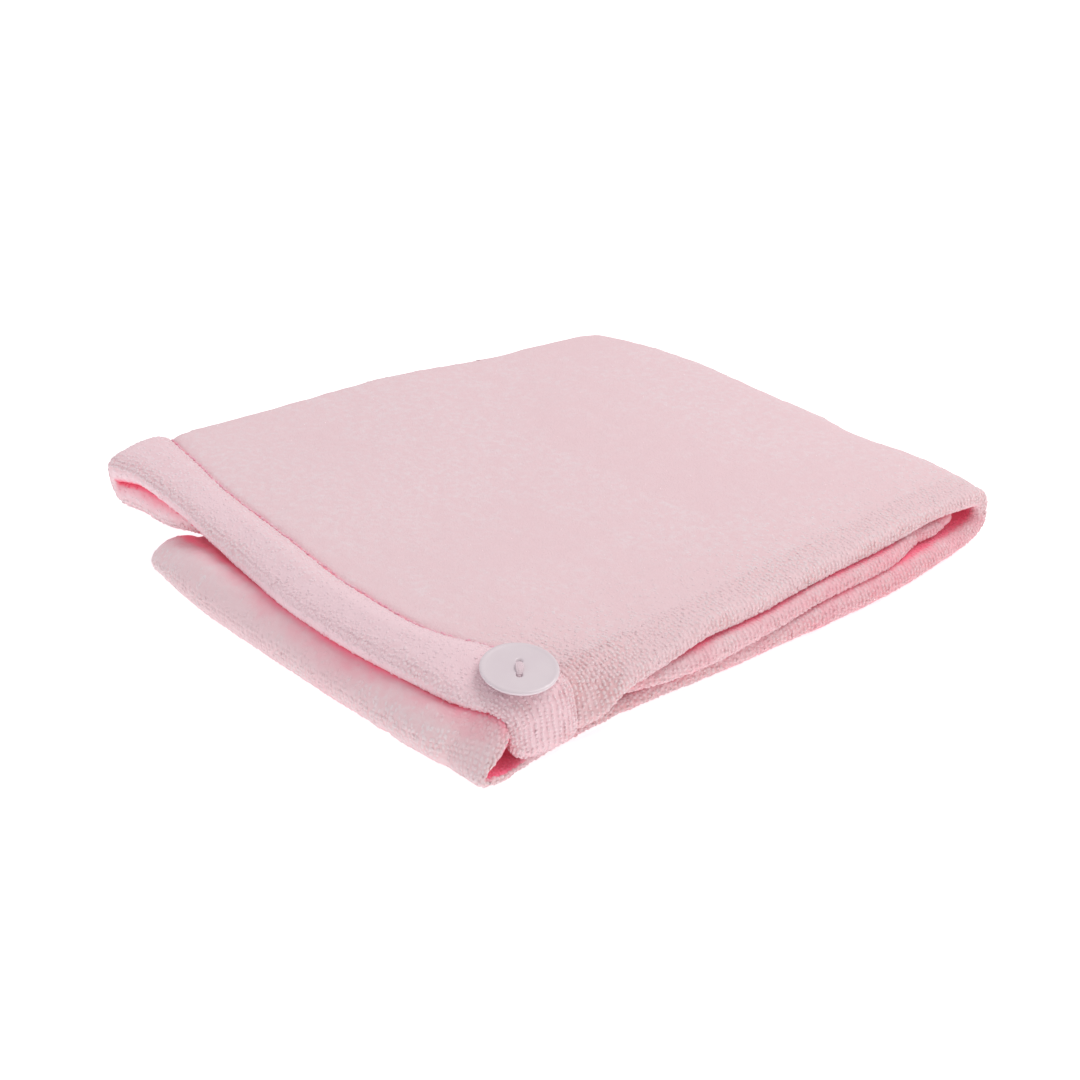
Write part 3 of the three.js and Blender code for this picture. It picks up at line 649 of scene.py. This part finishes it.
loop_size = len(across)
NOSE_START = UPPER_STEPS + SIDE_STEPS + 1    # first column of the button side's rounded edge
NOSE_END = NOSE_START + NOSE_STEPS - 1
LEFT_NOSE = loop_size - NOSE_STEPS
FLAT_PART = int(UPPER_STEPS * 0.7)
FLAT_PITCH, SIDE_PITCH, ROLL_PITCH, HEM_PITCH = (2.5, 2.1), (1.85, 1.35), (1.7, 1.45), (1.6, 1.3)
STRETCHES = (                    # rows as places, and columns, of the skin that can be seen
    (skin_rows(3.3, 17), list(range(LEFT_NOSE - 3, loop_size - 1)) + list(range(FLAT_PART)), FLAT_PITCH),
    (skin_rows(3.3, 17), list(range(FLAT_PART, NOSE_END + 6)), SIDE_PITCH),
    (skin_rows(17, 25), list(range(NOSE_START - 6, NOSE_END + 12)), SIDE_PITCH),
    (skin_rows(17, 25), list(range(LEFT_NOSE - 5, loop_size)), SIDE_PITCH),
    (skin_rows(22.5, 25), list(range(NOSE_END + 12, NOSE_END + 21)), SIDE_PITCH),
    (skin_rows(25, 29.5), over_top(loop_size, 2, 14), ROLL_PITCH),
    (skin_rows(30.5, 40), list(range(NOSE_START - 10, NOSE_END + 10)), SIDE_PITCH),
)
body_seats = np.concatenate([sow(skin, skin_bend, skin_painted_shade, rows, columns, pitch, pitch is ROLL_PITCH)
                             for rows, columns, pitch in STRETCHES])
hem_seats = sow(band, band_bend, band_painted_shade, (1.4, 26.5), over_top(len(band_across), 20, 8), HEM_PITCH,
                facing=-1)
print("tufts on the body and the hem", len(body_seats), len(hem_seats))

# %% [markdown]
# Each tuft leans a little its own way and has its own size and shade. On a bend they stand up side
# by side. Towards a flat stretch they get lower and fewer, until the pile is closed. The cloth round
# the button's thread is left bare, because the thread presses it flat.

# %% Set the tufts
TUFT_SUNK = 0.12
FLAT_HEIGHT, BENT_HEIGHT = 0.05, 0.55
WANDER, FLAT_WANDER = 0.2, 0.9   # how far a tuft strays from its row, on a bend and on the flat
BARE_RADIUS = 3.0                # of the cloth that the button thread presses down
TOP_LAYER = 18                   # height over which cloth belongs to the top layer


def set_tufts(name, seats):
    """Pieces of tufts standing on their seats, split so that none is too big."""
    away = np.hypot(seats[:, 0] - BUTTON_SEAT[0], seats[:, 1] - BUTTON_SEAT[1])
    seats = seats[(away > BARE_RADIUS) | (seats[:, 2] < TOP_LAYER)]
    standing = chance.uniform(0, 1, len(seats)) < smooth(seats[:, 6], 0.0, 0.45)
    seats = seats[standing]
    unit = np.empty(len(TUFT.vertices) * 3)
    TUFT.vertices.foreach_get("co", unit)
    unit = unit.reshape(-1, 3)
    made = []
    for part in np.array_split(seats, math.ceil(len(seats) / PIECE_TUFTS)):
        count = len(part)
        seat, normal, bend, deep = part[:, :3], part[:, 3:6], part[:, 6], part[:, 7]
        row = part[:, 8:11] - (part[:, 8:11] * normal).sum(1, keepdims=True) * normal
        row = row / np.maximum(np.linalg.norm(row, axis=1, keepdims=True), 1e-9)
        spin = chance.normal(0, 0.35, (count, 1))
        long_way = row * np.cos(spin) + np.cross(normal, row) * np.sin(spin)
        wide_way = np.cross(normal, long_way)
        size = chance.uniform(0.82, 1.18, (count, 1, 1))
        height = mix(FLAT_HEIGHT, BENT_HEIGHT, bend) * chance.uniform(0.7, 1.3, count)
        lean = chance.normal(0, 0.22, (count, 2)) * height[:, None] / BENT_HEIGHT
        stray = chance.uniform(-1, 1, (count, 1)) * mix(FLAT_WANDER, WANDER, bend)[:, None]
        x = unit[:, 0] * part[:, 11:12] * size[..., 0] + unit[:, 2] * lean[:, :1]
        y = unit[:, 1] * part[:, 12:13] * size[..., 0] + unit[:, 2] * lean[:, 1:] + stray
        z = unit[:, 2] * (height[:, None] + TUFT_SUNK) - TUFT_SUNK
        spots_at = (seat[:, None] + x[..., None] * long_way[:, None] + y[..., None] * wide_way[:, None]
                    + z[..., None] * normal[:, None])
        spots_at[..., 2] = np.maximum(spots_at[..., 2], 0.0)
        mesh = copies(TUFT, count)
        mesh.name = f"{name}_{len(made) + 1}"
        mesh.vertices.foreach_set("co", ((spots_at + (FRAME_X, FRAME_Y, 0)) * MM).astype(np.float32).ravel())
        add_value(mesh, "tip", np.tile(unit[:, 2], count))
        for value, label in ((bend, "bend"), (deep, "deep"), (chance.uniform(0, 1, count), "tint")):
            add_value(mesh, label, np.repeat(value, len(unit)))
        made.append(add_piece(mesh.name, mesh))
    return made


body_tufts = set_tufts("towel_tufts", body_seats)
hem_tufts = set_tufts("hem_tufts", hem_seats)
print("tuft pieces", [piece.name for piece in body_tufts + hem_tufts])

# %% [markdown]
# ## Stitches
# One row of pink stitches holds the band down and draws a groove in the pile. Each stitch is a
# small squashed ball, drawn once and copied along the groove. Rounding it with few faces keeps
# hundreds of them light.

# %% Stitches
def even_path(points, pitch):
    """Points and directions every pitch along a line of points."""
    steps = np.linalg.norm(np.diff(points, axis=0), axis=1)
    run = np.concatenate([[0], np.cumsum(steps)])
    marks = np.arange(pitch / 2, run[-1], pitch)
    spread = np.stack([np.interp(marks, run, points[:, k]) for k in range(3)], axis=-1)
    ahead = np.stack([np.interp(marks + 0.5, run, points[:, k]) for k in range(3)], axis=-1)
    return spread, ahead - spread


STITCH_LONG, STITCH_WIDE, STITCH_STRAY = 1.2, 0.5, 0.35
groove_at = station(np.array([3.02]))
groove_across = np.linspace(0.0, 0.93, 240)    # the row ends under the button
groove = cloth(groove_at, groove_across, np.full(240, 90.0), hem_out + 1.0)[0]
seats, runs = even_path(groove, STITCH_PITCH)
bm = bmesh.new()
for seat, run in zip(seats, runs):
    stray = Vector((0, *chance.uniform(-STITCH_STRAY, STITCH_STRAY, 2)))
    skew = Vector(chance.uniform(-0.12, 0.12, 3))
    turn_to = (Vector(run) + skew).to_track_quat("X", "Z").to_matrix().to_4x4()
    place_at = Matrix.Translation((Vector(seat) + stray + Vector((FRAME_X, FRAME_Y, 0))) * MM)
    long_half = STITCH_LONG * chance.uniform(0.6, 1.25)
    shape = Matrix.Diagonal((long_half * MM, STITCH_WIDE * MM, STITCH_WIDE * MM, 1))
    bmesh.ops.create_uvsphere(bm, u_segments=8, v_segments=6, radius=1, matrix=place_at @ turn_to @ shape)
stitches = add_piece("hem_stitches", mesh_of(bm, "hem_stitches"))
print("stitches", len(seats))

# %% [markdown]
# ## The button
# The button is a pressed disc with a low rim and a shallow dish. A lathe gives such a shape, so
# its half section is spun round the middle. The two thread holes show as dimples at the ends of
# the thread, so the rings near the middle lie close together and are pressed down there.

# %% Button
BUTTON_AT = (BUTTON_SEAT[0] + FRAME_X, BUTTON_SEAT[1] + FRAME_Y, BUTTON_SEAT[2])
BUTTON_TILT = (math.radians(3), math.radians(9), math.radians(47))
HOLE_SPACING, HOLE_RADIUS, HOLE_DEPTH = 6.4, 0.95, 1.5
BUTTON_PROFILE = (               # radius and height, from the middle of the base round to the dish
    (0, 0), (8.6, 0), (10.6, 0.5), (11.9, 1.3), (12.4, 1.9), (12.5, 2.3), (12.35, 2.65), (12.0, 2.86),
    (11.6, 2.9), (11.2, 2.84), (10.8, 2.74), (10.2, 2.67), (8.0, 2.62), (5.0, 2.6), (4.5, 2.6),
    (4.1, 2.6), (3.7, 2.59), (3.3, 2.58), (2.9, 2.57), (2.5, 2.56), (2.1, 2.56), (1.4, 2.55), (0, 2.55),
)
seat_matrix = Matrix.Translation(Vector(BUTTON_AT)) @ (
    Matrix.Rotation(BUTTON_TILT[0], 4, "X") @ Matrix.Rotation(BUTTON_TILT[1], 4, "Y")
    @ Matrix.Rotation(BUTTON_TILT[2], 4, "Z"))
seat_matrix = Matrix.Scale(MM, 4) @ seat_matrix

bm = bmesh.new()
corners = [bm.verts.new((r, 0, z)) for r, z in BUTTON_PROFILE]
edges = [bm.edges.new(pair) for pair in zip(corners, corners[1:])]
bmesh.ops.spin(bm, geom=corners + edges, cent=(0, 0, 0), axis=(0, 0, 1), angle=2 * math.pi, steps=96,
               use_merge=True, use_duplicate=False)
bmesh.ops.remove_doubles(bm, verts=bm.verts, dist=1e-4)
bmesh.ops.recalc_face_normals(bm, faces=bm.faces)
for vert in bm.verts:
    if vert.co.z > 2:
        away = math.hypot(vert.co.x, abs(vert.co.y) - HOLE_SPACING / 2)
        vert.co.z -= HOLE_DEPTH * math.exp(-(away / HOLE_RADIUS) ** 4)
bmesh.ops.transform(bm, matrix=seat_matrix, verts=bm.verts)
button_mesh = mesh_of(bm, "button_disc")
button = add_piece("button_disc", button_mesh)
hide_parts("button")
print("button triangles", sum(len(p.vertices) - 2 for p in button_mesh.polygons))

# %% [markdown]
# ## The button thread
# Four turns of thread go down through the two holes. Each turn is a row of small balls that
# overlap, which bows up between the holes as thread does. A curve with a round section would do
# too, but the balls need no ends closed.

# %% Button thread
STRAND_RADIUS = 0.42
STRAND_LOW, STRAND_BOW = 2.0, 1.35    # height of the strands in the holes, and how far they bow up
bm = bmesh.new()
half_gap = HOLE_SPACING / 2
for shift in (-0.75, -0.25, 0.25, 0.75):
    for s in np.linspace(-1, 1, 15):
        height = STRAND_LOW + STRAND_BOW * (1 - s**2) ** 0.7 - 0.25 * abs(shift)
        spread = shift * (1.25 - 0.85 * s**2)
        bead = Matrix.Translation((spread, s * (half_gap - 0.3), height)) @ Matrix.Diagonal((1, 1.5, 1, 1))
        bmesh.ops.create_icosphere(bm, subdivisions=2, radius=STRAND_RADIUS, matrix=bead)
bmesh.ops.transform(bm, matrix=seat_matrix, verts=bm.verts)
thread_mesh = mesh_of(bm, "button_stitch")
thread = add_piece("button_stitch", thread_mesh)
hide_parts("button_thread")
print("thread faces", len(thread_mesh.polygons))

# %% [markdown]
# ## Fleece material
# The pile is pale at its tips, and between them it is painted a deeper pink as painted shade, most of
# all where the cloth bends and the tufts part; bent tips get a painted shade too. In the slits between
# two layers the light bounces from pink to pink and comes through the thin pile, so the cloth is
# painted red there, as painted shade and bounce light, and glows a little as painted light. One node
# group holds that, and the body, the hem and the tufts share it.

# %% Node helpers
def socket(tree, name, kind, value=None, output=False):
    made = tree.interface.new_socket(name=name, in_out="OUTPUT" if output else "INPUT", socket_type=kind)
    if value is not None:
        made.default_value = value
    return made


def node(tree, kind, inputs=None, **settings):
    """A node with its settings, and its inputs set or linked by name."""
    made = tree.nodes.new(kind)
    for key, value in settings.items():
        setattr(made, key, value)
    for key, value in (inputs or {}).items():
        if isinstance(value, bpy.types.NodeSocket):
            tree.links.new(value, made.inputs[key])
        else:
            made.inputs[key].default_value = value
    return made


def math_node(tree, operation, *values):
    """A sum, a product or the like of numbers and sockets."""
    made = node(tree, "ShaderNodeMath", operation=operation)
    for i, value in enumerate(values):
        if isinstance(value, bpy.types.NodeSocket):
            tree.links.new(value, made.inputs[i])
        else:
            made.inputs[i].default_value = value
    return made.outputs[0]


# %% Pile group
def blend(tree, factor, low, high):
    """Colour between two colours or sockets, by a factor from 0 to 1."""
    made = node(tree, "ShaderNodeMix", data_type="RGBA")
    for key, value in (("Factor", factor), ("A", low), ("B", high)):
        if isinstance(value, bpy.types.NodeSocket):
            tree.links.new(value, made.inputs[key])
        else:
            made.inputs[key].default_value = value
    return made.outputs["Result"]


def noise_at(tree, where, scale, detail, roughness):
    return node(tree, "ShaderNodeTexNoise", {"Vector": where, "Scale": scale, "Detail": detail,
                                             "Roughness": roughness}).outputs["Fac"]


def eased(tree, value, low, high):
    return node(tree, "ShaderNodeMapRange", {"Value": value, "From Min": low, "From Max": high},
                interpolation_type="SMOOTHSTEP").outputs["Result"]


def pile_group():
    """Colour and height of the pile, from how high in it a point lies; shade and slit glow are painted."""
    tree = bpy.data.node_groups.new("fleece_pile", "ShaderNodeTree")
    socket(tree, "Raised", "NodeSocketFloat", 0.5)
    for name in ("Tip", "Bent Tip", "Flat Gap", "Bent Gap", "Slit"):
        socket(tree, name, "NodeSocketColor", (0.8, 0.6, 0.65, 1))
    socket(tree, "Color", "NodeSocketColor", output=True)
    socket(tree, "Glow", "NodeSocketColor", output=True)
    socket(tree, "Height", "NodeSocketFloat", output=True)
    inputs, outputs = node(tree, "NodeGroupInput").outputs, node(tree, "NodeGroupOutput").inputs
    where = node(tree, "ShaderNodeTexCoord").outputs["Object"]
    bend = node(tree, "ShaderNodeAttribute", attribute_name="bend").outputs["Fac"]
    deep = node(tree, "ShaderNodeAttribute", attribute_name="deep").outputs["Fac"]

    crumb = noise_at(tree, where, 1100.0, 3.0, 0.65)
    patch = noise_at(tree, where, 90.0, 3.0, 0.6)
    long_ways = node(tree, "ShaderNodeMapping", {"Vector": where, "Scale": (9.0, 24.0, 20.0)})
    long_ways = long_ways.outputs["Vector"]
    streak = noise_at(tree, long_ways, 1.0, 4.0, 0.6)

    raised = math_node(tree, "ADD", inputs["Raised"], math_node(tree, "MULTIPLY_ADD", crumb, 0.7, -0.35))
    # Painted shade: the gaps between tufts, and the tips on bent cloth, take darker pinks.
    gap = blend(tree, bend, inputs["Flat Gap"], inputs["Bent Gap"])
    tip = blend(tree, bend, inputs["Tip"], inputs["Bent Tip"])
    pile = blend(tree, eased(tree, raised, 0.0, 1.0), gap, tip)
    warm = eased(tree, math_node(tree, "ADD", math_node(tree, "MULTIPLY", patch, 0.3),
                                 math_node(tree, "MULTIPLY", streak, 0.7)), 0.44, 0.62)
    pile = blend(tree, math_node(tree, "MULTIPLY", warm, 0.8), pile, inputs["Flat Gap"])
    # Painted shade and bounce light: slits go over to the deep Slit pink.
    broken = math_node(tree, "ADD", deep, math_node(tree, "MULTIPLY_ADD", patch, 0.6, -0.3))
    slit = math_node(tree, "MULTIPLY", eased(tree, broken, 0.0, 1.0), eased(tree, deep, 0.0, 0.2))
    tree.links.new(blend(tree, slit, pile, inputs["Slit"]), outputs["Color"])
    # Painted light: the deepest slits glow in the Slit pink.
    deepest = eased(tree, slit, 0.45, 1.0)
    tree.links.new(blend(tree, deepest, (0, 0, 0, 1), inputs["Slit"]), outputs["Glow"])
    tree.links.new(crumb, outputs["Height"])
    return tree


PILE = pile_group()
print("pile group nodes", len(PILE.nodes))

# %% [markdown]
# The body and the hem are one fleece, but the hem's pinks are painted paler, a painted highlight for
# the light that falls more fully on the hem. On the skin between the tufts, small noise stands in for
# the height in the pile, and its low spots get the painted shade of the gaps. On a tuft it is the
# tuft's own height, so its foot gets painted shade, with a tone of its own for each tuft.

# %% Fleece materials
GLOW = 0.07                      # strength of the light that comes through the pile in a slit


def new_material(name, values):
    """A material, its tree and its shader, with constant values on the shader's own sockets."""
    material = bpy.data.materials.new(name)
    material.use_nodes = True
    shader = material.node_tree.nodes["Principled BSDF"]
    for key, value in values.items():
        shader.inputs[key].default_value = value
    return material, material.node_tree, shader


def fleece(name, tufted, colours, bump):
    """Pile in the given pinks, on a skin or on tufts."""
    material, tree, shader = new_material(name, {
        "Roughness": 0.95, "Specular IOR Level": 0.1, "Emission Strength": GLOW,
        "Sheen Weight": 0.25, "Sheen Roughness": 0.5, "Sheen Tint": (1.0, 0.9, 0.93, 1)})
    pile = tree.nodes.new("ShaderNodeGroup")
    pile.node_tree = PILE
    for key, colour in colours.items():
        pile.inputs[key].default_value = (*colour, 1)
    if tufted:
        tip = node(tree, "ShaderNodeAttribute", attribute_name="tip").outputs["Fac"]
        tint = node(tree, "ShaderNodeAttribute", attribute_name="tint").outputs["Fac"]
        # Painted shade: a tuft is darker towards its foot.
        raised = math_node(tree, "MULTIPLY_ADD", tint, 0.5, math_node(tree, "MULTIPLY_ADD", tip, 0.9, -0.2))
    else:
        where = node(tree, "ShaderNodeTexCoord").outputs["Object"]
        # Painted shade: low spots of this noise take the gap colour.
        raised = math_node(tree, "MULTIPLY_ADD", noise_at(tree, where, 430.0, 2.0, 0.5), 1.6, -0.5)
    tree.links.new(raised, pile.inputs["Raised"])
    tree.links.new(pile.outputs["Color"], shader.inputs["Base Color"])
    tree.links.new(pile.outputs["Glow"], shader.inputs["Emission Color"])
    fuzz = node(tree, "ShaderNodeBump", {"Strength": bump, "Distance": 0.0004,
                                         "Height": pile.outputs["Height"]})
    tree.links.new(fuzz.outputs["Normal"], shader.inputs["Normal"])
    return material


# Tip is the pile's own pink; the gaps and Bent Tip are painted shade, Flat Gap also the random patches' tone;
# Slit is painted shade, bounce light and glow.
BODY_PINKS = {"Tip": (0.87, 0.74, 0.77), "Bent Tip": (0.84, 0.665, 0.685), "Flat Gap": (0.87, 0.64, 0.675),
              "Bent Gap": (0.83, 0.51, 0.53), "Slit": (0.94, 0.18, 0.29)}
# The hem's pinks are painted paler than the body's: a painted highlight for the light on the hem.
HEM_LIT_PINKS = {"Tip": (0.96, 0.79, 0.835), "Bent Tip": (0.85, 0.67, 0.695), "Flat Gap": (0.93, 0.7, 0.75),
             "Bent Gap": (0.82, 0.46, 0.49), "Slit": (0.92, 0.15, 0.25)}
for pieces, name, tufted, pinks in (([sleeve], "coral_fleece", False, BODY_PINKS),
                                    ([hem], "hem_fleece", False, HEM_LIT_PINKS),
                                    (body_tufts, "coral_tufts", True, BODY_PINKS),
                                    (hem_tufts, "hem_tufts", True, HEM_LIT_PINKS)):
    material = fleece(name, tufted, pinks, 0.8)
    for piece in pieces:
        piece.data.materials.append(material)
print("fleece ready")

# %% [markdown]
# ## Thread, button and elastic
# The stitches of the hem are a deep pink thread, and the thread on the button is a paler one. Both
# are matt. The button is pale plastic with a faint milky mottle and a thin glossy coat. The elastic
# is hidden in the fold, and keeps its solid with the finish of a covered cord.

# %% Small materials
def ramp(tree, factor, *stops):
    """Colour along a ramp of (position, colour) stops."""
    made = node(tree, "ShaderNodeValToRGB", {"Fac": factor})
    for element, (position, colour) in zip(made.color_ramp.elements, stops):
        element.position, element.color = position, (*colour, 1)
    return made.outputs["Color"]


def plain(name, colour, second, scale, bump, values):
    """A material mottled between two colours, and raised a little by the same noise."""
    material, tree, shader = new_material(name, values)
    where = node(tree, "ShaderNodeTexCoord").outputs["Object"]
    mottle = node(tree, "ShaderNodeTexNoise", {"Vector": where, "Scale": scale, "Detail": 3.0}).outputs["Fac"]
    tree.links.new(ramp(tree, mottle, (0.35, colour), (0.65, second)), shader.inputs["Base Color"])
    raised = node(tree, "ShaderNodeBump", {"Strength": bump, "Distance": 0.0002, "Height": mottle})
    tree.links.new(raised.outputs["Normal"], shader.inputs["Normal"])
    return material


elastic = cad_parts["elastic_loop"]
elastic.data.materials.clear()
stitches.data.materials.append(
    plain("pink_thread", (0.88, 0.40, 0.52), (0.88, 0.60, 0.67), 500.0, 0.5, {"Roughness": 0.75}))
thread.data.materials.append(
    plain("pale_thread", (0.80, 0.63, 0.69), (0.82, 0.69, 0.73), 3000.0, 0.5, {"Roughness": 0.7}))
button.data.materials.append(
    plain("milky_plastic", (0.755, 0.66, 0.705), (0.78, 0.69, 0.73), 90.0, 0.05,
          {"Roughness": 0.28, "Coat Weight": 0.35, "Coat Roughness": 0.12}))
elastic.data.materials.append(
    plain("covered_elastic", (0.74, 0.50, 0.56), (0.84, 0.62, 0.68), 2400.0, 0.6, {"Roughness": 0.85}))
print("materials", len(bpy.data.materials))

# %% [markdown]
# ## Floor and light
# A pale floor and a bright, even surround give the look of a studio. One broad lamp stands high
# behind the right shoulder of the towel, so the top is bright and the front-left fold falls into a
# soft grey. A weaker and bluer lamp on the left lifts that grey a little towards lavender.

# %% Floor and light
bm = bmesh.new()
bmesh.ops.create_grid(bm, x_segments=2, y_segments=2, size=6)
floor = bpy.data.objects.new("floor", mesh_of(bm, "floor"))
bpy.context.scene.collection.objects.link(floor)
floor_material = new_material("pale_floor", {
    "Base Color": (0.93, 0.93, 0.93, 1), "Roughness": 0.9, "Specular IOR Level": 0.0,
    "Emission Color": (1, 1, 1, 1), "Emission Strength": 0.5})[0]
floor.data.materials.append(floor_material)

world = bpy.data.worlds.new("studio")
bpy.context.scene.world = world
world.use_nodes = True
surround = world.node_tree.nodes["Background"]
surround.inputs["Color"].default_value = (1.0, 0.985, 0.98, 1)
surround.inputs["Strength"].default_value = 0.6


def area_light(name, at, aim, size, power, colour):
    data = bpy.data.lights.new(name, "AREA")
    data.shape, data.size, data.energy, data.color = "DISK", size, power, colour
    light = bpy.data.objects.new(name, data)
    light.location = at
    light.rotation_euler = (Vector(aim) - Vector(at)).to_track_quat("-Z", "Y").to_euler()
    bpy.context.scene.collection.objects.link(light)
    return light


area_light("key", (0.35, 0.65, 1.25), (0, 0, 0), 0.9, 8.7, (1.0, 0.97, 0.96))
area_light("fill", (-0.7, -0.7, 0.8), (0, 0, 0), 1.2, 1.0, (0.72, 0.75, 1.0))
bpy.context.scene.view_settings.view_transform = "Standard"
print("lights ready")
